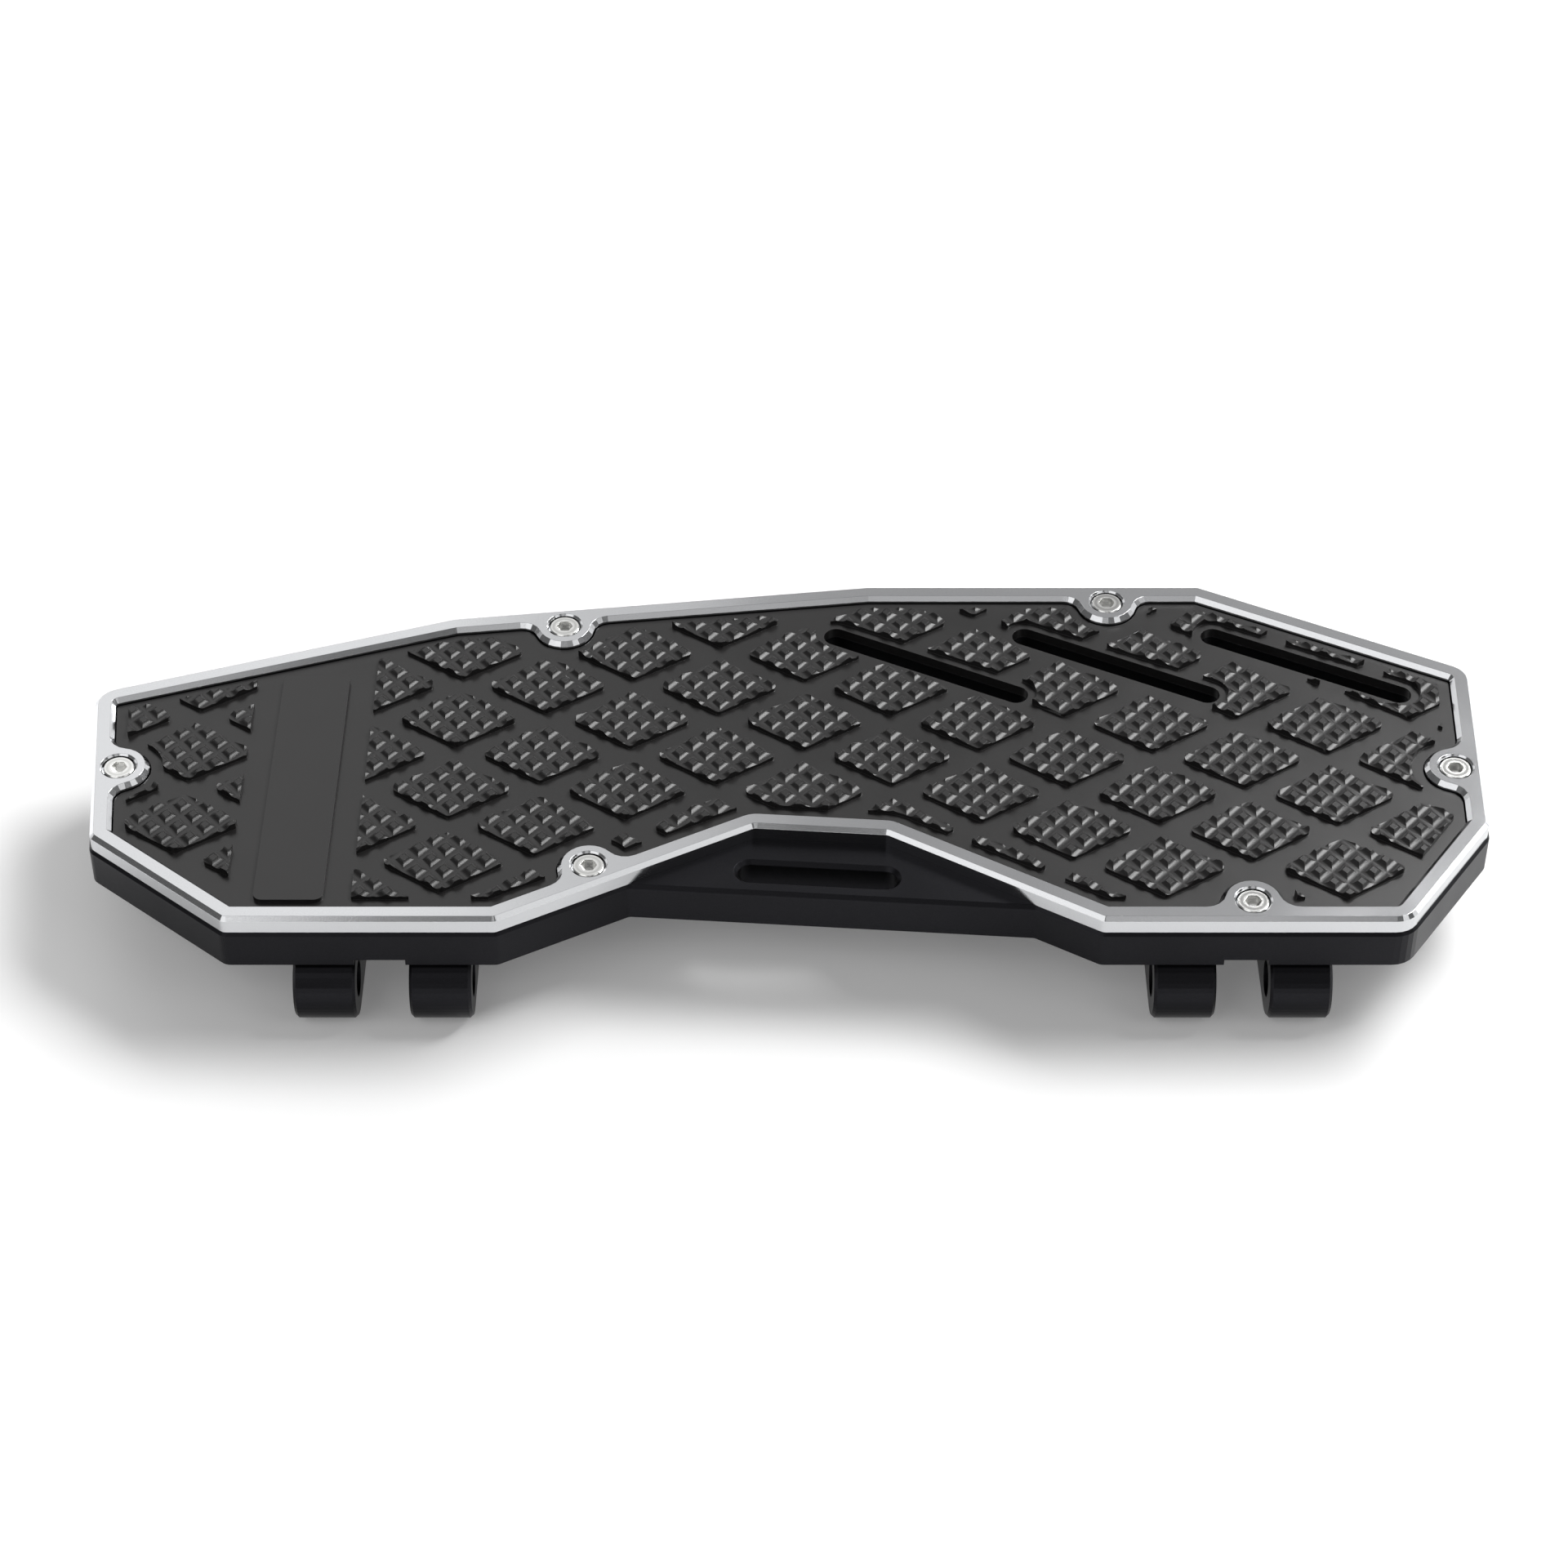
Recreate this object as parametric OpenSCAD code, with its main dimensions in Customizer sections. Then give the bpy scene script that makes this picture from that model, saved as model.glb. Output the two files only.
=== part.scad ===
// Extended driver floorboard of a motorcycle: a machined base plate, an aluminium
// bezel screwed onto it, a rubber tread inside the bezel and two hinges below.
// The origin is the pin axis of the left hinge, midway between its two ears.
// X runs along the board, Y to its outer long side and Z up. Sizes in mm.

/* [Board] */
// Front edge of the bezel, ahead of the pin axis
front_edge = 4.9; // [2:0.1:9]
// Depth of the bezel, front edge to back edge
board_depth = 137.9; // [125:0.1:150]
// Left end of the board, from the left pin
left_reach = 86; // [80:0.5:95]
// Right end of the board, from the left pin
right_reach = 299.7; // [292:0.1:310]
// Back corner of the left end, behind the pin axis
left_back = 86.3; // [80:0.1:92]
// Slant of the left end along the board
left_slant = 6.2; // [2:0.1:12]
// Front corner of the left end, behind the pin axis
left_front = 27.2; // [20:0.1:34]
// Straight front edge at the left hinge, left of its pin
left_edge_from = 40.9; // [36:0.1:46]
// Straight front edge at the left hinge, right of its pin
left_edge_to = 30.7; // [27:0.1:36]
// Left corner of the front notch, from the left pin
notch_left_x = 98.6; // [92:0.1:104]
// Left corner of the notch, behind the pin axis
notch_left_y = 31.2; // [26:0.1:36]
// Width of the notch at its inner end
notch_w = 35.8; // [28:0.1:44]
// Right corner of the notch, behind the pin axis
notch_right_y = 28.5; // [24:0.1:34]
// Straight front edge at the right hinge, left of its pin
right_edge_from = 37.9; // [32:0.1:44]
// Cut corner at the right end of the front edge, along the board
right_cut = 28.6; // [22:0.1:34]
// Slant of the right end along the board
right_slant = 3.1; // [1:0.1:8]
// Front corner of the right end, behind the pin axis
right_front = 32; // [26:0.1:38]
// Cut corner at the back of the right end, across the board
back_cut_y = 37; // [30:0.1:44]
// The same cut corner along the board
back_cut_x = 73.4; // [60:0.1:84]
// Left end of the straight back edge, from the left pin
back_from = 130.7; // [120:0.1:140]
// Bend in the slanted part of the back edge, from the left pin
back_bend_x = 12.4; // [5:0.1:20]
// The same bend, in front of the back edge
back_bend_y = 14.3; // [10:0.1:18]
// Rounding of the bezel's ordinary corners
corner_r = 3; // [2:0.5:5]
// Rounding of the three outer corners that a boot meets
end_corner_r = 7; // [3:0.5:12]

/* [Base plate] */
// Thickness of the base plate
base_t = 11.4; // [9:0.1:16]
// How far the base plate stands out past the bezel
base_ledge = 0.6; // [0.2:0.1:1.5]
// Chamfer round the top edge of the base plate
base_chamfer = 1; // [0.5:0.1:1.6]
// Depth of the shelf that fills the front notch
shelf_depth = 20.3; // [18:0.1:24]

/* [Bezel] */
// Height of the bezel
bezel_t = 5; // [4.6:0.1:7]
// Width of the bezel, outer side to inner side
bezel_w = 5.8; // [5:0.1:7]
// Outer top chamfer of the bezel
outer_chamfer = 1.1; // [0.5:0.1:1.5]
// Inner top chamfer of the bezel
inner_chamfer = 1.2; // [0.5:0.1:1.5]
// Radius of the ears that hold the bezel screws
boss_r = 8.4; // [7.5:0.1:10]
// Fillet where such an ear runs into the bezel
boss_fillet = 4.5; // [3:0.1:6]
// Screw centre, in from the outer side of the bezel
screw_inset = 7.3; // [6.6:0.1:8]

/* [Tread] */
// Thickness of the rubber between the raised diamonds
tread_t = 3; // [2:0.1:4]
// Height of the diamonds over the rubber
diamond_h = 2; // [1.2:0.1:2.4]
// Gap between the rubber and the bezel
tread_gap = 0.3; // [0.1:0.1:0.6]
// Plain border of the rubber, from its edge to the diamonds
tread_border = 3.3; // [2:0.1:5]
// Long diagonal of a diamond
diamond_l = 34; // [28:0.5:38]
// Short diagonal of a diamond
diamond_w = 22.6; // [18:0.2:25]
// Pitch of the diamonds along the board
diamond_pitch_x = 48.06; // [44:0.02:56]
// Pitch of the diamonds across the board
diamond_pitch_y = 28.9; // [26:0.1:34]
// Turn of the diamond pattern
diamond_turn = -0.58; // [-3:0.01:3]
// Middle diamond, along and across from the left pin
diamond_at = [136.3, 60.3];
// Width of the plain raised bar
bar_w = 18.6; // [14:0.2:24]
// Length of the plain raised bar
bar_l = 91; // [70:1:94]
// Height of the plain raised bar over the rubber
bar_h = 1.2; // [0.6:0.1:2]
// Middle of the bar, along and across from the left pin
bar_at = [-24.4, 48.7];
// Rounding of the bar's corners
bar_corner_r = 2.5; // [1:0.1:5]
// Width of the band without diamonds that the bar stands in
bar_band = 33.3; // [28:0.1:40]

/* [Slots] */
// Number of slanted drain slots
slot_count = 3; // [1:1:3]
// Length of a slanted slot
slot_l = 62.9; // [40:0.1:68]
// Width of a slanted slot
slot_w = 7.1; // [5:0.1:9]
// Distance between two slanted slots along the board
slot_pitch = 53.65; // [50:0.05:60]
// Middle of the last slanted slot, in from the right end of the board
slot_inset = 45.8; // [40:0.05:60]
// Middle of the slanted slots, in front of the back edge
slot_back = 33.25; // [28:0.05:50]
// Angle of the slanted slots, that of the edge behind them
slot_turn = -26.7; // [-32:0.1:-20]
// Rubber left plain round a slanted slot
slot_border = 2.4; // [1:0.1:4]
// Length of the slot in the shelf
shelf_slot_l = 42.8; // [30:0.1:48]
// Width of the slot in the shelf
shelf_slot_w = 7; // [5:0.1:8]
// Chamfer round the slot in the shelf
shelf_slot_chamfer = 1.1; // [0.4:0.1:1.4]
// Middle of the shelf slot, behind the shelf's front edge
shelf_slot_inset = 8.3; // [6.5:0.1:11]

/* [Hinges] */
// Distance between the two hinges
hinge_pitch = 228.4; // [215:0.1:240]
// Width of one hinge ear
ear_w = 16.5; // [12:0.1:20]
// Space between the two ears of a hinge
ear_gap = 14.3; // [10:0.1:18]
// Radius of an ear round its pin
ear_r = 10.5; // [9:0.1:13]
// Bore for the hinge pin
pin_bore = 10; // [6:0.5:12]
// Straight underside of an ear, behind the pin
ear_flat = 22; // [18:0.5:30]
// Whole foot of an ear on the base plate, behind the pin
ear_foot = 42; // [38:0.5:60]
// Thickness of an ear at its rear tip
ear_tip = 3; // [2:0.5:5]
// Chamfer round the sides of an ear
ear_chamfer = 0.8; // [0.3:0.1:1.5]
// Depth of the relief under the base plate between two ears
relief_h = 1.8; // [1:0.1:3]
// Length of that relief behind the pin
relief_l = 24; // [15:1:40]
// Width of the relief at the left hinge and at the right one
relief_w = [13.6, 11.9];
// Middle of each relief, from its own pin
relief_shift = [-0.4, 0.55];

/* [Screws] */
// Thread of the bezel screws
bezel_thread = 5; // [4:0.5:5.5]
// Head diameter of the bezel screws
bezel_head_d = 8.5; // [7:0.1:9]
// Head height of the bezel screws
bezel_head_h = 3.5; // [2:0.1:3.6]
// Length of the bezel screws under the head
bezel_screw_l = 10; // [6:1:11]
// Chamfer round such a head
head_edge = 0.3; // [0.1:0.1:0.6]
// Hexagon socket of the bezel screws, across its flats
bezel_hex = 4; // [3:0.5:4]
// Depth of that socket
bezel_hex_depth = 2; // [1.2:0.1:2.4]
// How far a head lies below the top of the bezel
head_sink = 0.4; // [0.2:0.1:0.9]
// Thread of the ear screws
ear_thread = 6; // [5:0.5:6.5]
// Head diameter of the ear screws
ear_head_d = 11.6; // [10:0.1:12]
// Length of the ear screws over all
ear_screw_l = 20; // [16:1:22]
// Hexagon socket of the ear screws, across its flats
ear_hex = 4; // [3:0.5:5]
// Depth of that socket
ear_hex_depth = 2.5; // [1.5:0.1:3]
// First ear screw, behind the pin
ear_screw_y = 11.5; // [10.5:0.1:14]
// Distance between the two screws of an ear
ear_screw_pitch = 19; // [16:0.5:24]
// Clearance below a bezel screw in its blind hole
bezel_hole_rest = 0.5; // [0.3:0.1:1]
// Chamfer round the mouth of a screw recess in the bezel
recess_chamfer = 0.5; // [0.2:0.1:0.8]
// Gap all round a screw head
head_gap = 0.4; // [0.2:0.05:0.6]
// Gap all round a thread in its hole
thread_gap = 0.05; // [0.02:0.01:0.2]

/* [Hidden] */

front_y = -front_edge;
back_y = front_y + board_depth;

// Corners of the bezel's outer side, counter-clockwise: x, y and rounding.
corners = [
  [-left_reach, left_back, end_corner_r],
  [left_slant - left_reach, left_front, corner_r],
  [-left_edge_from, front_y, corner_r],
  [left_edge_to, front_y, corner_r],
  [notch_left_x, notch_left_y, corner_r],
  [notch_left_x + notch_w, notch_right_y, corner_r],
  [hinge_pitch - right_edge_from, front_y, corner_r],
  [right_reach - right_cut, front_y, end_corner_r],
  [right_reach - right_slant, right_front, corner_r],
  [right_reach, back_y - back_cut_y, end_corner_r],
  [right_reach - back_cut_x, back_y, corner_r],
  [back_from, back_y, corner_r],
  [back_bend_x, back_y - back_bend_y, corner_r]
];
notch_left = 4;
notch_right = 5;

// Bezel screws: the corner that their edge starts at and the share of the edge.
screw_places = [[11, 0.739], [10, 0.281], [8, 0.353], [6, 0.493], [3, 0.402], [0, 0.541]];

base_z = ear_r;
deck_z = base_z + base_t;
top_z = deck_z + bezel_t;
tread_z = deck_z + tread_t;
hinges = [0, hinge_pitch];
ear_offset = (ear_gap + ear_w) / 2;
bezel_head_z = top_z - head_sink - bezel_head_h;
bezel_bore_z = bezel_head_z - bezel_screw_l - bezel_hole_rest;
over = 0.3;
arc_steps = 4;
boss_steps = 12;

function unit(v) = v / norm(v);
function inward(v) = [-v.y, v.x];
function xy(p) = [p.x, p.y];
function cross2(a, b) = a.x * b.y - a.y * b.x;
function pick(list, i) = list[(i + len(list)) % len(list)];
function along(c, i) = unit(xy(pick(c, i + 1)) - xy(pick(c, i)));

// Meeting point of the two edges at corner i, both moved inward by d.
function moved_corner(c, i, d) =
  let (a = along(c, i - 1), b = along(c, i))
  xy(pick(c, i)) + d * (b - a) / cross2(a, b);

// Arc round centre m from direction u to direction v, by the shorter way.
function arc(m, r, u, v, steps) =
  let (from = atan2(u.y, u.x), turn = atan2(cross2(u, v), u * v))
  [for (k = [0:steps]) m + r * [cos(from + turn * k / steps), sin(from + turn * k / steps)]];

function but_last(list) = [for (k = [0:len(list) - 2]) list[k]];

// Corner i of an outline moved inward by d, as an arc.
function round_corner(c, i, d) =
  let (a = along(c, i - 1), b = along(c, i), side = sign(cross2(a, b)),
       r = max(pick(c, i)[2] - side * d, 0.2),
       m = moved_corner(c, i, d + side * r))
  arc(m, r, -side * inward(a), -side * inward(b), arc_steps);

function outline(c, d) = [for (i = [0:len(c) - 1]) each round_corner(c, i, d)];

function screw_spot(k) =
  let (i = screw_places[k][0], a = xy(corners[i]), b = xy(pick(corners, i + 1)))
  a + screw_places[k][1] * (b - a) + screw_inset * inward(unit(b - a));

// The bulge of a screw ear in the edge that lies d inside the outer side.
function boss_bulge(k, d) =
  let (i = screw_places[k][0], u = along(corners, i), v = inward(u), m = screw_spot(k),
       r = boss_r + d - bezel_w, f = boss_fillet - d + bezel_w,
       rise = bezel_w + boss_fillet - screw_inset,
       reach = sqrt(pow(boss_r + boss_fillet, 2) - rise * rise),
       m1 = m - reach * u + rise * v, m2 = m + reach * u + rise * v)
  concat(but_last(arc(m1, f, -v, m - m1, arc_steps)), but_last(arc(m, r, m1 - m, v, boss_steps / 2)),
         but_last(arc(m, r, v, m2 - m, boss_steps / 2)), arc(m2, f, m - m2, -v, arc_steps));

// Inner outline of the bezel, d inside its outer side, with the six screw ears.
function inner_outline(d) = [
  for (i = [0:len(corners) - 1]) each concat(
    round_corner(corners, i, d),
    [for (k = [0:len(screw_places) - 1]) if (screw_places[k][0] == i) each boss_bulge(k, d)])];

// Corners of the base plate: those of the bezel, with the shelf across the notch.
notch_out = -inward(along(corners, notch_left));
function shelf_corner(i, j) =
  let (a = xy(corners[i]), b = xy(corners[j]))
  concat(a + (b - a) * shelf_depth / ((b - a) * notch_out), corner_r);
shelf_left = shelf_corner(notch_left, notch_left - 1);
shelf_right = shelf_corner(notch_right, notch_right + 1);
base_corners = [for (i = [0:len(corners) - 1])
  i == notch_left ? shelf_left : i == notch_right ? shelf_right : corners[i]];
shelf_slot_turn = atan2(-notch_out.x, notch_out.y) + 180;
notch_middle = (xy(corners[notch_left]) + xy(corners[notch_right])) / 2;
shelf_slot_at = notch_middle + notch_out * (shelf_depth + base_ledge - shelf_slot_inset);

// Ring of triangular section that cuts a chamfer: its foot, and above that the outer
// and the inner ring of its mouth.
module chamfer_cut(foot, outer, inner, foot_z, mouth_z) {
  n = len(foot);
  polyhedron(
    points = concat([for (p = foot) [p.x, p.y, foot_z]],
                    [for (p = outer) [p.x, p.y, mouth_z]],
                    [for (p = inner) [p.x, p.y, mouth_z]]),
    faces = [for (k = [0:2]) for (i = [0:n - 1])
      let (j = (i + 1) % n, m = (k + 1) % 3) [k * n + i, m * n + i, m * n + j, k * n + j]]);
}

module long_hole_cut(l, w, z0, z1) {
  translate([0, 0, z0]) linear_extrude(z1 - z0) stadium(l, w);
}

module stadium(l, w) {
  square([l - w, w], center = true);
  for (s = [-1, 1]) translate([s * (l - w) / 2, 0]) circle(d = w, $fn = 48);
}

// Chamfer round the mouth of a long hole in the deck.
module long_hole_chamfer(l, w, c) {
  span = l - w;
  for (s = [-1, 1]) translate([s * span / 2, 0, deck_z - c])
    cylinder(r1 = w / 2, r2 = w / 2 + 2 * c, h = 2 * c, $fn = 48);
  translate([-span / 2, 0, deck_z - c]) rotate([90, 0, 90]) linear_extrude(span)
    polygon([[-w / 2, 0], [w / 2, 0], [w / 2 + 2 * c, 2 * c], [-w / 2 - 2 * c, 2 * c]]);
}

module at_slots() {
  for (k = [0:slot_count - 1])
    translate([right_reach - slot_inset - k * slot_pitch, back_y - slot_back])
      rotate(slot_turn) children();
}

module at_ear_screws() {
  for (h = hinges, s = [-1, 1], k = [0, 1])
    translate([h + s * ear_offset, ear_screw_y + k * ear_screw_pitch, 0]) children();
}

module base_plate() color("#1c1c1e") difference() {
  translate([0, 0, base_z]) linear_extrude(base_t) polygon(outline(base_corners, -base_ledge));
  chamfer_cut(outline(base_corners, -base_ledge), outline(base_corners, -base_ledge - over),
              outline(base_corners, base_chamfer - base_ledge + over),
              deck_z - base_chamfer, deck_z + over);
  at_slots() long_hole_cut(slot_l, slot_w, base_z - 1, deck_z + 1);
  translate(shelf_slot_at) rotate(shelf_slot_turn) {
    long_hole_cut(shelf_slot_l, shelf_slot_w, base_z - 1, deck_z + 1);
    long_hole_chamfer(shelf_slot_l, shelf_slot_w, shelf_slot_chamfer);
  }
  for (k = [0:len(screw_places) - 1]) translate(screw_spot(k))
    translate([0, 0, bezel_bore_z])
      cylinder(d = bezel_thread + 2 * thread_gap, h = top_z - bezel_bore_z, $fn = 32);
  at_ear_screws() {
    translate([0, 0, base_z - 1])
      cylinder(d = ear_thread + 2 * head_gap, h = base_t + 2, $fn = 32);
    translate([0, 0, deck_z - ear_head_d / 2 - head_gap])
      cylinder(d1 = 0, d2 = ear_head_d + 2 * head_gap + 2, h = ear_head_d / 2 + head_gap + 1, $fn = 48);
  }
  for (k = [0, 1]) translate([hinges[k] + relief_shift[k], 0, base_z - 1]) {
    translate([-relief_w[k] / 2, front_y - base_ledge - 1, 0])
      cube([relief_w[k], relief_l + front_edge + base_ledge + 1 - relief_w[k] / 2, relief_h + 1]);
    translate([0, relief_l - relief_w[k] / 2, 0]) cylinder(d = relief_w[k], h = relief_h + 1, $fn = 48);
  }
}

module bezel() color("#c9cacb") difference() {
  translate([0, 0, deck_z]) linear_extrude(bezel_t) difference() {
    polygon(outline(corners, 0));
    polygon(inner_outline(bezel_w));
  }
  chamfer_cut(outline(corners, 0), outline(corners, -over), outline(corners, outer_chamfer + over),
              top_z - outer_chamfer, top_z + over);
  chamfer_cut(inner_outline(bezel_w), inner_outline(bezel_w - inner_chamfer - over),
              inner_outline(bezel_w + over), top_z - inner_chamfer, top_z + over);
  for (k = [0:len(screw_places) - 1]) translate(screw_spot(k)) {
    translate([0, 0, deck_z - 1]) cylinder(d = bezel_thread + 2 * head_gap, h = bezel_t + 2, $fn = 32);
    translate([0, 0, bezel_head_z])
      cylinder(d = bezel_head_d + 2 * head_gap, h = bezel_t, $fn = 48);
    translate([0, 0, top_z - recess_chamfer])
      cylinder(d1 = bezel_head_d + 2 * head_gap,
               d2 = bezel_head_d + 2 * head_gap + 4 * recess_chamfer, h = 2 * recess_chamfer, $fn = 48);
  }
}

module diamonds() {
  reach = 5;
  for (i = [-reach:reach], j = [-2 * reach:2 * reach])
    translate(diamond_at) rotate(diamond_turn)
      translate([(i + (abs(j) % 2) / 2) * diamond_pitch_x, j * diamond_pitch_y / 2])
        polygon([[diamond_l / 2, 0], [0, diamond_w / 2], [-diamond_l / 2, 0], [0, -diamond_w / 2]]);
}

// The part of the rubber that diamonds may stand on.
module diamond_field() difference() {
  polygon(outline(corners, bezel_w + tread_gap + tread_border));
  for (k = [0:len(screw_places) - 1])
    translate(screw_spot(k)) circle(r = boss_r + tread_gap + tread_border, $fn = 48);
  at_slots() stadium(slot_l + 2 * slot_border, slot_w + 2 * slot_border);
  translate([bar_at.x, bar_at.y]) square([bar_band, board_depth * 2], center = true);
}

module bar() translate(bar_at) {
  square([bar_w, bar_l - 2 * bar_corner_r], center = true);
  square([bar_w - 2 * bar_corner_r, bar_l], center = true);
  for (x = [-1, 1], y = [-1, 1])
    translate([x * (bar_w / 2 - bar_corner_r), y * (bar_l / 2 - bar_corner_r)])
      circle(r = bar_corner_r, $fn = 32);
}

module tread_pad() color("#3a3939") {
  difference() {
    translate([0, 0, deck_z]) linear_extrude(tread_t) polygon(inner_outline(bezel_w + tread_gap));
    at_slots() long_hole_cut(slot_l, slot_w, deck_z - 1, top_z + 1);
  }
  translate([0, 0, tread_z - 1]) linear_extrude(diamond_h + 1) intersection() {
    diamonds();
    diamond_field();
  }
  translate([0, 0, tread_z - 1]) linear_extrude(bar_h + 1) bar();
}

module ear_profile(d) {
  circle(r = ear_r - d, $fn = 48);
  polygon([[0, d - ear_r], [ear_flat, d - ear_r], [ear_foot - d, ear_r - ear_tip],
           [ear_foot - d, ear_r], [0, ear_r]]);
}

module ear(x) color("#202022") difference() {
  translate([x, 0, 0]) rotate([90, 0, 90]) hull() {
    linear_extrude(ear_w, center = true) ear_profile(ear_chamfer);
    linear_extrude(ear_w - 2 * ear_chamfer, center = true) ear_profile(0);
  }
  translate([x, 0, 0]) rotate([0, 90, 0]) cylinder(d = pin_bore, h = ear_w + 2, center = true, $fn = 48);
  for (k = [0, 1]) translate([x, ear_screw_y + k * ear_screw_pitch, deck_z - ear_screw_l - 1])
    cylinder(d = ear_thread + 2 * thread_gap, h = ear_screw_l + 1, $fn = 32);
}

module left_outer_ear() ear(hinges[0] - ear_offset);
module left_inner_ear() ear(hinges[0] + ear_offset);
module right_inner_ear() ear(hinges[1] - ear_offset);
module right_outer_ear() ear(hinges[1] + ear_offset);

module bezel_screw(k) color("#d4d5d6")
  translate(screw_spot(k)) translate([0, 0, bezel_head_z]) {
    difference() {
      union() {
        cylinder(d = bezel_head_d, h = bezel_head_h - head_edge, $fn = 48);
        translate([0, 0, bezel_head_h - head_edge])
          cylinder(d1 = bezel_head_d, d2 = bezel_head_d - 2 * head_edge, h = head_edge, $fn = 48);
        translate([0, 0, -bezel_screw_l]) cylinder(d = bezel_thread, h = bezel_screw_l + 1, $fn = 32);
      }
      translate([0, 0, bezel_head_h - bezel_hex_depth])
        cylinder(d = bezel_hex / cos(30), h = bezel_head_h, $fn = 6);
    }
  }

module ear_screw(k) color("#2a2a2c") {
  h = floor(k / 4);
  s = floor((k % 4) / 2) * 2 - 1;
  translate([hinges[h] + s * ear_offset, ear_screw_y + (k % 2) * ear_screw_pitch, deck_z]) difference() {
    union() {
      translate([0, 0, -ear_head_d / 2])
        cylinder(d1 = 0, d2 = ear_head_d, h = ear_head_d / 2, $fn = 48);
      translate([0, 0, -ear_screw_l]) cylinder(d = ear_thread, h = ear_screw_l - 1, $fn = 32);
    }
    translate([0, 0, -ear_hex_depth]) cylinder(d = ear_hex / cos(30), h = ear_head_d, $fn = 6);
  }
}

module bezel_screw_back_left() bezel_screw(0);
module bezel_screw_back_right() bezel_screw(1);
module bezel_screw_right() bezel_screw(2);
module bezel_screw_front_right() bezel_screw(3);
module bezel_screw_notch() bezel_screw(4);
module bezel_screw_left() bezel_screw(5);

base_plate();
bezel();
tread_pad();
left_outer_ear();
left_inner_ear();
right_inner_ear();
right_outer_ear();
bezel_screw_back_left();
bezel_screw_back_right();
bezel_screw_right();
bezel_screw_front_right();
bezel_screw_notch();
bezel_screw_left();
ear_screw(0);  // ear_screw_1
ear_screw(1);  // ear_screw_2
ear_screw(2);  // ear_screw_3
ear_screw(3);  // ear_screw_4
ear_screw(4);  // ear_screw_5
ear_screw(5);  // ear_screw_6
ear_screw(6);  // ear_screw_7
ear_screw(7);  // ear_screw_8
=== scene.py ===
import bpy
import bmesh
import math
from mathutils import Matrix, Vector


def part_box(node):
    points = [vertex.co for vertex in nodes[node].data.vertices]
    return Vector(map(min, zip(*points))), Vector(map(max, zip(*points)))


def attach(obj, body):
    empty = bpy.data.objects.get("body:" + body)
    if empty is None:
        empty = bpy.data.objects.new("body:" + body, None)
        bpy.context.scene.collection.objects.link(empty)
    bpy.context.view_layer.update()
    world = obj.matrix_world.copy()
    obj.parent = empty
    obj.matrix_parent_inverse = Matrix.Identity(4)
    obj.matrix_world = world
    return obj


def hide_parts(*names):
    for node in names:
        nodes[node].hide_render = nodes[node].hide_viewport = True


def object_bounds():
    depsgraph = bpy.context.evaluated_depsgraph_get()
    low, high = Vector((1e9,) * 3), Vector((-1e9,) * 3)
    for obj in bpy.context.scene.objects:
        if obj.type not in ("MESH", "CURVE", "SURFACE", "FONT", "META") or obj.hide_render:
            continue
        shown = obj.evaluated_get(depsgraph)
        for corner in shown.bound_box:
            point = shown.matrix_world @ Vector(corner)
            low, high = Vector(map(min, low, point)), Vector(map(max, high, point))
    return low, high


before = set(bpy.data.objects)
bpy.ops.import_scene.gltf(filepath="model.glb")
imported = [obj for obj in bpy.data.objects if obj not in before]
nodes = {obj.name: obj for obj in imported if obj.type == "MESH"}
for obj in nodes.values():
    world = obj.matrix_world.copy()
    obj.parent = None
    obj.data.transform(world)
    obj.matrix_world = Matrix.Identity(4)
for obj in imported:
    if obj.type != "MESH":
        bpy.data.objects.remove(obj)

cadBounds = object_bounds()
mm = 0.001


# colours are written as sRGB hex and turned to linear here
def linear(hexColour):
    parts = [int(hexColour[i:i + 2], 16) / 255 for i in (1, 3, 5)]
    return [c / 12.92 if c <= 0.04045 else ((c + 0.055) / 1.055) ** 2.4 for c in parts] + [1.0]


# adds one node, sets its properties and sockets, and links what is given as (node, socket)
def addNode(tree, kind, props=None, **sockets):
    made = tree.nodes.new(kind)
    for name, value in (props or {}).items():
        setattr(made, name, value)
    for name, value in sockets.items():
        socket = made.inputs[int(name[1:])] if name[0] == "i" and name[1:].isdigit() \
            else made.inputs[name.replace("_", " ")]
        if isinstance(value, tuple) and isinstance(value[0], bpy.types.Node):
            tree.links.new(value[0].outputs[value[1]], socket)
        else:
            socket.default_value = value
    return made


def newMaterial(name):
    material = bpy.data.materials.new(name)
    material.use_nodes = True
    tree = material.node_tree
    tree.nodes.clear()
    return material, tree


def finishMaterial(tree, shader):
    addNode(tree, "ShaderNodeOutputMaterial", Surface=(shader, "BSDF"))


def giveMaterial(obj, material):
    obj.data.materials.clear()
    obj.data.materials.append(material)


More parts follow.
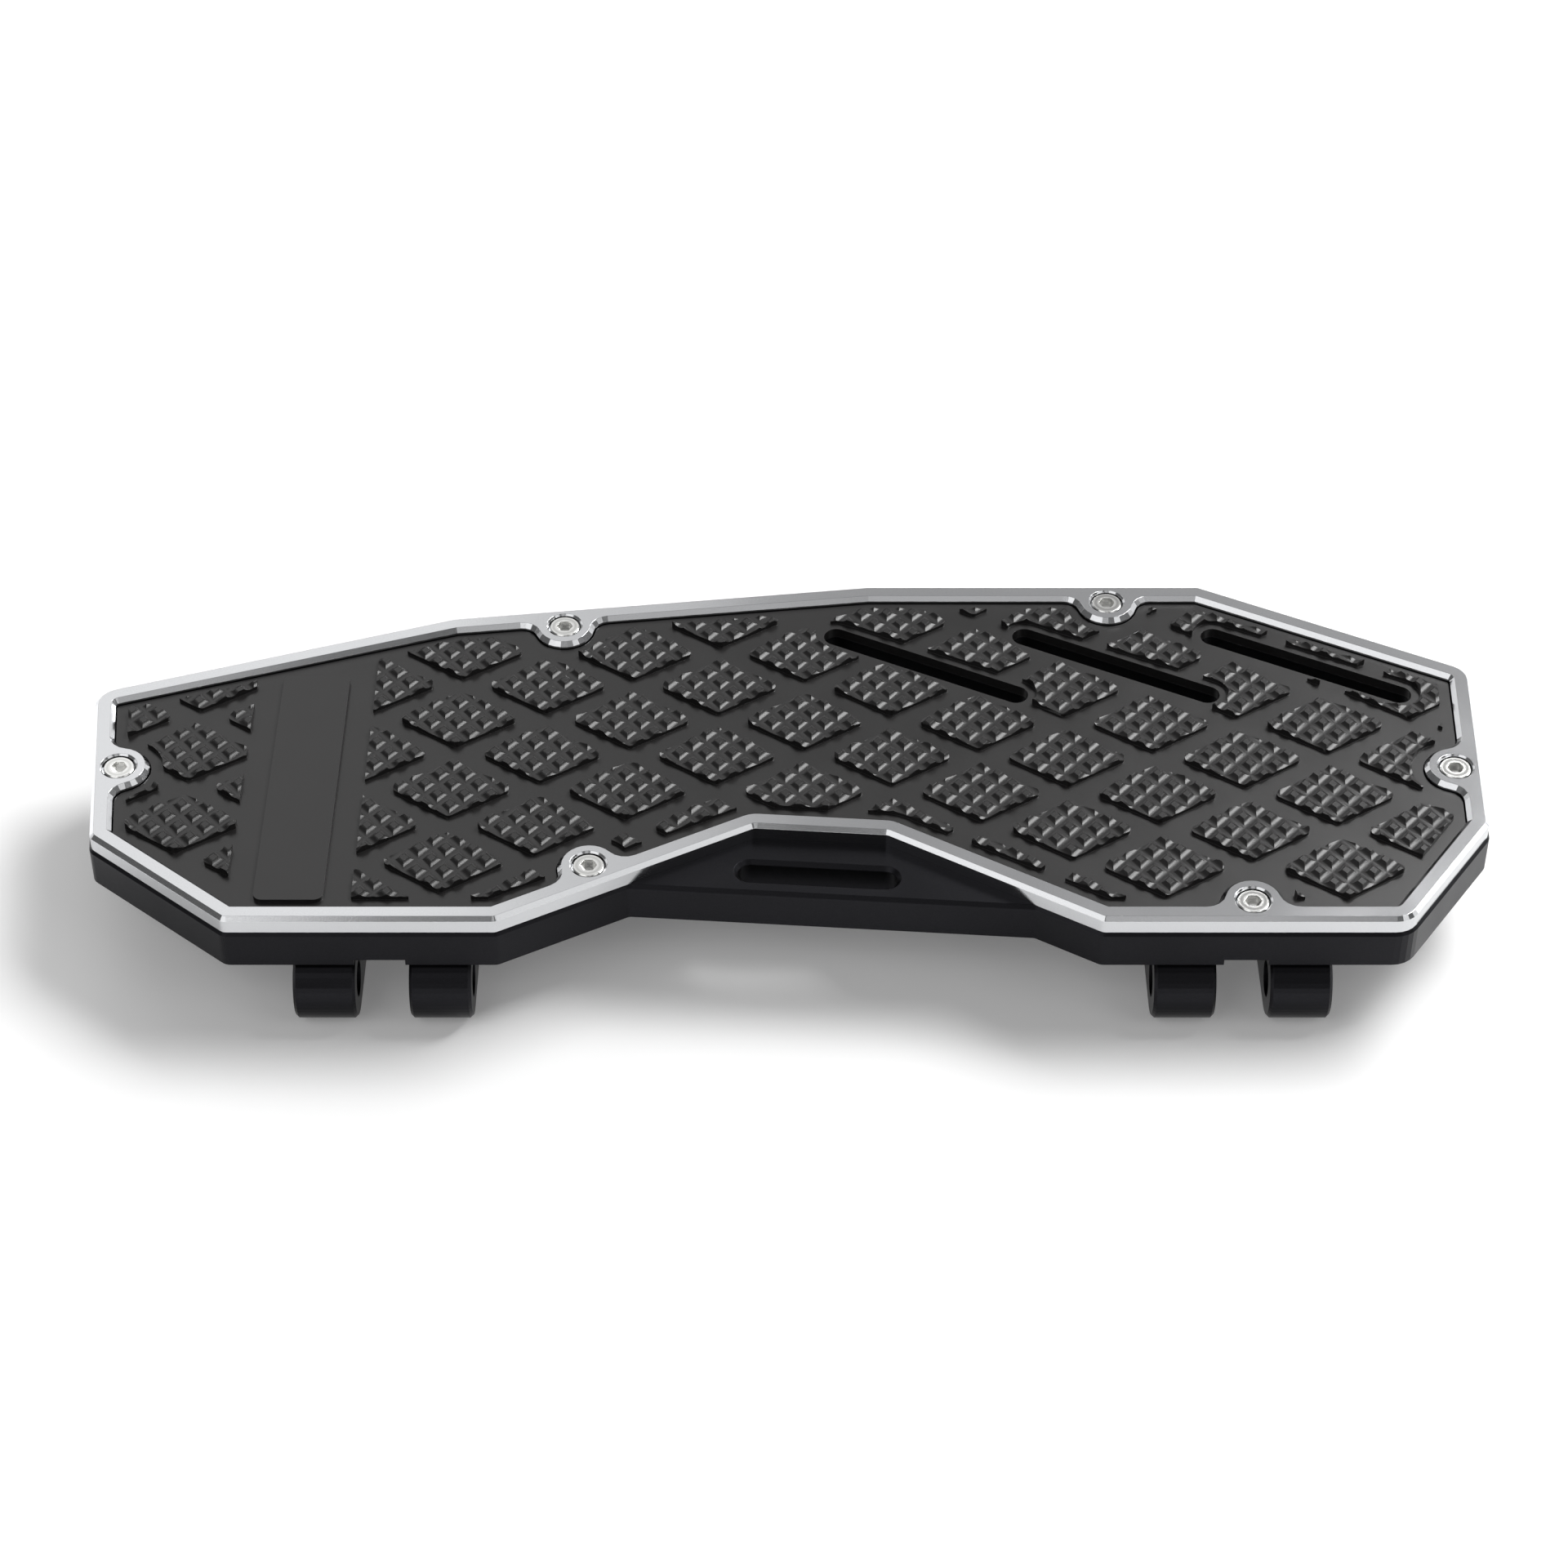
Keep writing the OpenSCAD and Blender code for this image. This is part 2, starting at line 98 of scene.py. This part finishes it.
# anodised aluminium, clear: blasted before anodising, so it shines softly and has a very fine sparkle
def clearAnodised():
    material, tree = newMaterial("clearAnodisedAluminium")
    place = addNode(tree, "ShaderNodeTexCoord")
    grain = addNode(tree, "ShaderNodeTexNoise", Vector=(place, "Object"), Detail=3.0, Roughness=0.6,
                    Scale=bezelLook["patternPerMetre"] / bezelLook["grainMm"])
    cloud = addNode(tree, "ShaderNodeTexNoise", Vector=(place, "Object"), Detail=2.0,
                    Scale=bezelLook["patternPerMetre"] / bezelLook["cloudMm"])
    tint = addNode(tree, "ShaderNodeMix", {"data_type": "RGBA"}, Factor=(grain, "Fac"),
                   i6=linear(bezelLook["dark"]), i7=linear(bezelLook["light"]))
    low, high = bezelLook["roughness"]
    rough = addNode(tree, "ShaderNodeMapRange", Value=(cloud, "Fac"), From_Min=0.3, From_Max=0.7,
                    To_Min=low, To_Max=high)
    soft = addNode(tree, "ShaderNodeBevel", {"samples": 4}, Radius=bezelLook["edgeMm"] * mm)
    bump = addNode(tree, "ShaderNodeBump", Height=(grain, "Fac"), Normal=(soft, "Normal"),
                   Strength=0.35, Distance=bezelLook["bumpMm"] * mm)
    shader = addNode(tree, "ShaderNodeBsdfPrincipled", Base_Color=(tint, 2), Roughness=(rough, "Result"),
                     Normal=(bump, "Normal"), Metallic=1.0)
    finishMaterial(tree, shader)
    return material


# anodised aluminium, black: satin, the dyed oxide shows as near black with a faint grain of the cutter
def blackAnodised():
    material, tree = newMaterial("blackAnodisedAluminium")
    place = addNode(tree, "ShaderNodeTexCoord")
    grain = addNode(tree, "ShaderNodeTexNoise", Vector=(place, "Object"), Detail=3.0, Roughness=0.65,
                    Scale=plateLook["patternPerMetre"] / plateLook["grainMm"])
    handled = addNode(tree, "ShaderNodeTexNoise", Vector=(place, "Object"), Detail=2.0,
                      Scale=plateLook["patternPerMetre"] / plateLook["cloudMm"])
    tint = addNode(tree, "ShaderNodeMix", {"data_type": "RGBA"}, Factor=(grain, "Fac"),
                   i6=linear(plateLook["dark"]), i7=linear(plateLook["light"]))
    low, high = plateLook["roughness"]
    rough = addNode(tree, "ShaderNodeMapRange", Value=(handled, "Fac"), From_Min=0.3, From_Max=0.7,
                    To_Min=low, To_Max=high)
    soft = addNode(tree, "ShaderNodeBevel", {"samples": 4}, Radius=plateLook["edgeMm"] * mm)
    bump = addNode(tree, "ShaderNodeBump", Height=(grain, "Fac"), Normal=(soft, "Normal"),
                   Strength=0.4, Distance=plateLook["bumpMm"] * mm)
    shader = addNode(tree, "ShaderNodeBsdfPrincipled", Base_Color=(tint, 2), Roughness=(rough, "Result"),
                     Normal=(bump, "Normal"), Metallic=1.0)
    finishMaterial(tree, shader)
    return material


# moulded rubber: charcoal, matt to satin, with the fine grain of an eroded mould
def mouldedRubber():
    material, tree = newMaterial("mouldedRubber")
    place = addNode(tree, "ShaderNodeTexCoord")
    grain = addNode(tree, "ShaderNodeTexNoise", Vector=(place, "Object"), Detail=2.0, Roughness=0.6,
                    Scale=treadLook["patternPerMetre"] / treadLook["grainMm"])
    bloom = addNode(tree, "ShaderNodeTexNoise", Vector=(place, "Object"), Detail=3.0,
                    Scale=treadLook["patternPerMetre"] / treadLook["cloudMm"])
    tint = addNode(tree, "ShaderNodeMix", {"data_type": "RGBA"}, Factor=(bloom, "Fac"),
                   i6=linear(treadLook["dark"]), i7=linear(treadLook["light"]))
    low, high = treadLook["roughness"]
    rough = addNode(tree, "ShaderNodeMapRange", Value=(bloom, "Fac"), From_Min=0.3, From_Max=0.7,
                    To_Min=low, To_Max=high)
    soft = addNode(tree, "ShaderNodeBevel", {"samples": 4}, Radius=treadLook["edgeMm"] * mm)
    bump = addNode(tree, "ShaderNodeBump", Height=(grain, "Fac"), Normal=(soft, "Normal"),
                   Strength=0.5, Distance=treadLook["bumpMm"] * mm)
    shader = addNode(tree, "ShaderNodeBsdfPrincipled", Base_Color=(tint, 2), Roughness=(rough, "Result"),
                     Normal=(bump, "Normal"), Metallic=0.0, IOR=1.5)
    finishMaterial(tree, shader)
    return material


# stainless steel, turned: bright, with fine rings round the middle of each screw head
def turnedStainless(name, centre, look):
    material, tree = newMaterial(name)
    place = addNode(tree, "ShaderNodeTexCoord")
    centred = addNode(tree, "ShaderNodeMapping", Vector=(place, "Object"), Location=[-c for c in centre])
    rings = addNode(tree, "ShaderNodeTexWave",
                    {"wave_type": "RINGS", "rings_direction": "Z", "wave_profile": "SIN"},
                    Vector=(centred, "Vector"), Scale=look["patternPerMetre"] / look["ringMm"],
                    Distortion=0.6, Detail=2.0)
    tint = addNode(tree, "ShaderNodeMix", {"data_type": "RGBA"}, Factor=(rings, "Fac"),
                   i6=linear(look["dark"]), i7=linear(look["light"]))
    low, high = look["roughness"]
    rough = addNode(tree, "ShaderNodeMapRange", Value=(rings, "Fac"), To_Min=low, To_Max=high)
    soft = addNode(tree, "ShaderNodeBevel", {"samples": 4}, Radius=look["edgeMm"] * mm)
    bump = addNode(tree, "ShaderNodeBump", Height=(rings, "Fac"), Normal=(soft, "Normal"),
                   Strength=0.3, Distance=look["bumpMm"] * mm)
    shader = addNode(tree, "ShaderNodeBsdfPrincipled", Base_Color=(tint, 2), Roughness=(rough, "Result"),
                     Normal=(bump, "Normal"), Metallic=1.0)
    finishMaterial(tree, shader)
    return material


bezelLook = {
    "light": "#d2d3d5", "dark": "#c2c3c5",
    "patternPerMetre": 1000,
    "grainMm": 0.35,      # blasting grit, drawn about three times as coarse as it is, to show
    "cloudMm": 30,
    "roughness": (0.13, 0.17),
    "bumpMm": 0.012,
    "edgeMm": 0.15,
}

plateLook = {
    "light": "#28282b", "dark": "#1e1e20",
    "patternPerMetre": 1000,
    "grainMm": 0.4,       # grain of the oxide, drawn coarser than it is, to show
    "cloudMm": 25,
    "roughness": (0.34, 0.42),
    "bumpMm": 0.02,
    "edgeMm": 0.25,
}

treadLook = {
    "light": "#1e1d1d", "dark": "#191818",
    "patternPerMetre": 1000,
    "grainMm": 0.45,      # grain of the eroded mould
    "cloudMm": 14,
    "roughness": (0.30, 0.34),
    "bumpMm": 0.02,
    "edgeMm": 0.10,
}

screwLook = {
    "light": "#e4e4e2", "dark": "#c8c8c6",
    "patternPerMetre": 1000 / 20,   # a wave texture of scale 1 repeats 20 times in a unit
    "ringMm": 0.25,       # feed of the turning tool
    "roughness": (0.16, 0.24),
    "bumpMm": 0.01,
    "edgeMm": 0.12,
}

oxideLook = {
    "light": "#3a3a3d", "dark": "#29292b",
    "patternPerMetre": 1000 / 20,
    "ringMm": 0.3,
    "roughness": (0.35, 0.45),
    "bumpMm": 0.01,
    "edgeMm": 0.12,
}

# the knurl: round-bottomed grooves in two directions over the tops of the diamonds
knurl = {
    "alongOne": (3.6331, 4.2678),     # one cell along the grooves that rise to the right, mm
    "alongTwo": (3.6331, -4.2843),    # one cell along those that fall to the right, mm
    "at": (185.14, 54.65),            # in the valley of a rising groove, half-way between two crossings
    "width": 3.77,
    "depth": 1.0,
    "headroom": 0.5,                  # how far the cutters stand over the diamonds
    "overrun": 4,                     # how far they run out past a diamond
    "steps": 20,
    "sharpFrom": 11,                  # degrees: more than one step of a groove, less than most crossings
}


# the raised diamonds, as the frame has them, and the rounding of their corners, in mm and degrees
diamond = {
    "long": 34, "short": 22.6,        # the two diagonals, which give the direction of the edges
    "turn": -0.58,
    "floorZ": 24.9,
    "sink": 0.3,                      # each diamond is a closed block that stands this deep in the pad
    "radius": 1.5,
    "steps": 12,
    "parallel": 0.99995,              # cosine from which an edge counts as the diamond's own
    "share": 0.48,                    # the most that one rounding takes of an edge
}
weld = {"flat": 0.5, "near": 0.00001, "sliver": 0.000001}   # degrees, then metres


# the round-bottomed cutters of one direction that cross a circle round one diamond
def grooveCutter(along, other, start, topZ, centre, reach):
    radius = (knurl["width"] ** 2 / 4 + knurl["depth"] ** 2) / (2 * knurl["depth"])
    middle = topZ - knurl["depth"] + radius
    half = math.acos((radius - knurl["depth"] - knurl["headroom"]) / radius)
    direction = along.normalized()
    side = Vector((-direction.y, direction.x))
    section = []
    for k in range(knurl["steps"] + 1):
        turn = -half + 2 * half * k / knurl["steps"]
        section.append((radius * math.sin(turn), middle - radius * math.cos(turn)))
    mesh = bmesh.new()
    spacing = other.dot(side)
    nearest = round((centre - start).dot(side) / spacing)
    count = math.ceil(reach / abs(spacing)) + 1
    for i in range(nearest - count, nearest + count + 1):
        foot = start + i * other
        foot += direction * (centre - foot).dot(direction)
        if (centre - foot).length > reach + knurl["width"]:
            continue
        ends = []
        for t in (-reach - knurl["overrun"], reach + knurl["overrun"]):
            point = foot + t * direction
            ends.append([mesh.verts.new((*((point + side * u) * mm), z * mm)) for u, z in section])
        for k in range(len(section)):
            n = (k + 1) % len(section)
            mesh.faces.new((ends[0][k], ends[1][k], ends[1][n], ends[0][n]))
        mesh.faces.new(ends[0])
        mesh.faces.new(list(reversed(ends[1])))
    bmesh.ops.recalc_face_normals(mesh, faces=mesh.faces)
    return meshObject("grooves", mesh)


# turns a bmesh into an object of the scene
def meshObject(name, mesh):
    data = bpy.data.meshes.new(name)
    mesh.to_mesh(data)
    mesh.free()
    made = bpy.data.objects.new(name, data)
    bpy.context.scene.collection.objects.link(made)
    return made


# smooth where the surface is round and sharp at its edges
def shadeByAngle(data, degrees):
    data.polygons.foreach_set("use_smooth", [True] * len(data.polygons))
    data.set_sharp_from_angle(angle=math.radians(degrees))


# the outline of a diamond, with its own four corners rounded; where it is clipped, its corners stay sharp
def roundedOutline(points):
    turn = Matrix.Rotation(math.radians(diamond["turn"]), 2)
    edges = [turn @ Vector((diamond["long"], s * diamond["short"])).normalized() for s in (-1, 1)]
    outline = []
    for i, corner in enumerate(points):
        before, after = corner - points[i - 1], points[(i + 1) % len(points)] - corner
        u, v = before.normalized(), after.normalized()
        own = [[k for k, e in enumerate(edges) if abs(e.dot(d)) > diamond["parallel"]] for d in (u, v)]
        cross = u.x * v.y - u.y * v.x
        if not own[0] or not own[1] or own[0] == own[1] or cross <= 0:
            outline.append(corner)
            continue
        bend = math.acos(max(-1, min(1, u.dot(v))))
        run = min(diamond["radius"] * math.tan(bend / 2),
                  diamond["share"] * before.length, diamond["share"] * after.length)
        radius = run / math.tan(bend / 2)
        first = corner - u * run
        centre = first + Vector((-u.y, u.x)) * radius
        for k in range(diamond["steps"] + 1):
            outline.append(centre + Matrix.Rotation(bend * k / diamond["steps"], 2) @ (first - centre))
    return outline


# the pad with every diamond rounded and grooved; one diamond is cut at a time, which keeps the memory low
def knurledTread():
    floorZ, topZ = diamond["floorZ"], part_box("tread_pad")[1][2] / mm
    body = bmesh.new()
    body.from_mesh(nodes["tread_pad"].data)
    bmesh.ops.remove_doubles(body, verts=body.verts, dist=weld["near"])
    bmesh.ops.dissolve_limit(body, angle_limit=math.radians(weld["flat"]), verts=body.verts, edges=body.edges)
    outlines = []
    for face in body.faces:
        if face.normal.z > 0.9 and abs(face.calc_center_median().z - topZ * mm) < weld["near"]:
            outlines.append([vert.co.xy / mm for vert in face.verts])
    # the pad without its diamonds: their tops sink to the floor between them
    for vert in body.verts:
        if abs(vert.co.z - topZ * mm) < weld["near"]:
            vert.co.z = floorZ * mm
    bmesh.ops.remove_doubles(body, verts=body.verts, dist=weld["near"])
    bmesh.ops.dissolve_degenerate(body, edges=body.edges, dist=weld["sliver"])

    rising, falling, at = Vector(knurl["alongOne"]), Vector(knurl["alongTwo"]), Vector(knurl["at"])
    for points in outlines:
        centre = sum(points, Vector((0, 0))) / len(points)
        reach = max((p - centre).length for p in points)
        block = bmesh.new()
        rings = [[block.verts.new((*(p * mm), z * mm)) for p in roundedOutline(points)]
                 for z in (floorZ - diamond["sink"], topZ)]
        for k in range(len(rings[0])):
            n = (k + 1) % len(rings[0])
            block.faces.new((rings[0][k], rings[0][n], rings[1][n], rings[1][k]))
        block.faces.new(list(reversed(rings[0])))
        block.faces.new(rings[1])
        block = meshObject("diamond", block)
        cutters = [grooveCutter(rising, falling, at, topZ, centre, reach),
                   grooveCutter(falling, rising, at + rising / 2, topZ, centre, reach)]
        for cutter in cutters:
            cut = block.modifiers.new("grooves", "BOOLEAN")
            cut.operation = "DIFFERENCE"
            cut.solver = "EXACT"
            cut.object = cutter
        graph = bpy.context.evaluated_depsgraph_get()
        shaped = bpy.data.meshes.new_from_object(block.evaluated_get(graph))
        body.from_mesh(shaped)
        bpy.data.meshes.remove(shaped)
        for done in [block] + cutters:
            bpy.data.meshes.remove(done.data)
    tread = meshObject("knurled_tread", body)
    shadeByAngle(tread.data, knurl["sharpFrom"])
    giveMaterial(tread, mouldedRubber())
    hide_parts("tread_pad")
    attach(tread, "root")
    print("tread:", len(outlines), "diamonds,", len(tread.data.polygons), "faces")


knurledTread()

machinedSharpFrom = 24     # degrees, for every piece but the tread
plateFinish = blackAnodised()
for name in ("base_plate", "left_outer_ear", "left_inner_ear", "right_inner_ear", "right_outer_ear"):
    giveMaterial(nodes[name], plateFinish)
giveMaterial(nodes["bezel"], clearAnodised())
for name, node in nodes.items():
    if "screw" in name:
        low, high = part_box(name)
        centre = [(low[k] + high[k]) / 2 for k in (0, 1)] + [high[2]]
        look = oxideLook if name.startswith("ear") else screwLook
        giveMaterial(node, turnedStainless("turnedSteel_" + name, centre, look))
for name, node in nodes.items():
    if name != "tread_pad":
        shadeByAngle(node.data, machinedSharpFrom)
        weigh = node.modifiers.new("flatFacesFirst", "WEIGHTED_NORMAL")
        weigh.keep_sharp = True
print("materials done")

# the studio: a pale floor, soft boxes behind and in front, and one strong lamp behind on the right
studio = {
    "floorColour": "#f2f2f2",
    "floorGap": 0.0002,
    "floorSides": 64,
    "floorReach": 14,         # how far the floor runs before it turns up as a low backdrop, m
    "backdropHeight": 4,
    "lift": (0.14, 1.0),      # added where the floor is looked at, near the board and far off, so that it is
    "liftFrom": (0.12, 0.6),  # white far from the lamps too
    "worldLevel": 0.15,
    "aim": (0.107, 0.06, 0.01),
}
softBoxes = (
    # name, direction from the board, shift to the right, distance, width, height, brightness
    ("backLeftBox", (0, 0.73, 0.68), -0.65, 1.6, 0.90, 0.9, 1.08),
    ("backMiddleBox", (0, 0.73, 0.68), -0.115, 1.6, 0.17, 0.9, 0.72),
    ("backRightBox", (0, 0.73, 0.68), 0.42, 1.6, 0.90, 0.9, 0.32),
    ("frontLeftBox", (-0.50, -0.58, 0.70), 0, 1.6, 1.05, 0.9, 1.25),
    ("frontRightBox", (0.62, -0.46, 0.66), 0, 1.6, 0.7, 0.7, 1.0),
    ("frontMiddleBox", (0.10, -0.68, 0.72), 0, 1.7, 0.5, 0.7, 0.5),
    ("rightBox", (0.96, 0.10, 0.26), 0, 1.6, 0.6, 0.5, 1.0),
    ("keyBox", (0.50, 0.36, 0.75), 0, 1.7, 1.15, 0.7, 12.5),
)


def placeLamp(name, direction, shift, distance, width, height, level):
    lamp = bpy.data.lights.new(name, "AREA")
    lamp.shape = "RECTANGLE"
    lamp.size, lamp.size_y = width, height
    lamp.energy = level * math.pi * width * height
    obj = bpy.data.objects.new(name, lamp)
    bpy.context.scene.collection.objects.link(obj)
    away = Vector(direction).normalized()
    obj.location = Vector(studio["aim"]) + away * distance + Vector((shift, 0, 0))
    obj.rotation_euler = (-away).to_track_quat("-Z", "Y").to_euler()


for box in softBoxes:
    placeLamp(*box)

world = bpy.data.worlds.new("studioWorld")
bpy.context.scene.world = world
world.use_nodes = True
sky = world.node_tree
sky.nodes.clear()
glow = addNode(sky, "ShaderNodeBackground", Color=(1.0, 1.0, 1.0, 1.0), Strength=studio["worldLevel"])
addNode(sky, "ShaderNodeOutputWorld", Surface=(glow, "Background"))

rim, reach = studio["floorSides"], studio["floorReach"]
corners = [(reach * math.cos(2 * math.pi * k / rim), reach * math.sin(2 * math.pi * k / rim), z)
           for z in (0, studio["backdropHeight"]) for k in range(rim)]
walls = [(k, (k + 1) % rim, rim + (k + 1) % rim, rim + k) for k in range(rim)]
floorData = bpy.data.meshes.new("floor")
floorData.from_pydata(corners, [], [tuple(range(rim))] + walls)
floor = bpy.data.objects.new("floor", floorData)
bpy.context.scene.collection.objects.link(floor)
floor.location = (*studio["aim"][:2], cadBounds[0][2] - studio["floorGap"])
material, tree = newMaterial("paleFloor")
path = addNode(tree, "ShaderNodeLightPath")
seen = addNode(tree, "ShaderNodeMath", {"operation": "MAXIMUM"}, i0=(path, "Is Camera Ray"),
               i1=(path, "Is Glossy Ray"))
through = addNode(tree, "ShaderNodeMath", {"operation": "MAXIMUM"}, i0=(seen, "Value"),
                  i1=(path, "Is Transmission Ray"))
place = addNode(tree, "ShaderNodeTexCoord")
away = addNode(tree, "ShaderNodeVectorMath", {"operation": "LENGTH"}, i0=(place, "Object"))
far = addNode(tree, "ShaderNodeMapRange", {"interpolation_type": "SMOOTHSTEP"}, Value=(away, "Value"),
              From_Min=studio["liftFrom"][0], From_Max=studio["liftFrom"][1],
              To_Min=studio["lift"][0], To_Max=studio["lift"][1])
lift = addNode(tree, "ShaderNodeMath", {"operation": "MULTIPLY"}, i0=(through, "Value"), i1=(far, "Result"))
matt = addNode(tree, "ShaderNodeBsdfDiffuse", Color=linear(studio["floorColour"]))
lit = addNode(tree, "ShaderNodeEmission", Color=(1.0, 1.0, 1.0, 1.0), Strength=(lift, "Value"))
both = addNode(tree, "ShaderNodeAddShader", i0=(matt, "BSDF"), i1=(lit, "Emission"))
addNode(tree, "ShaderNodeOutputMaterial", Surface=(both, "Shader"))
giveMaterial(floor, material)

# the place and lens of the photo's camera, solved from the tread's lattice
photoView = {"from": (0.105, -0.7201, 0.7231), "tilt": 47.8, "lens": 87.45, "sensor": 36, "shift": 0.00385,
             "clip": (0.05, 20)}
view = bpy.data.cameras.new("camera")
camera = bpy.data.objects.new("camera", view)
bpy.context.scene.collection.objects.link(camera)
camera.location = photoView["from"]
camera.rotation_euler = (math.radians(photoView["tilt"]), 0, 0)
view.lens = photoView["lens"]
view.sensor_width = photoView["sensor"]
view.shift_x = photoView["shift"]
view.clip_start, view.clip_end = photoView["clip"]
bpy.context.scene.camera = camera
bpy.context.scene.view_settings.view_transform = "Standard"
print("studio done")
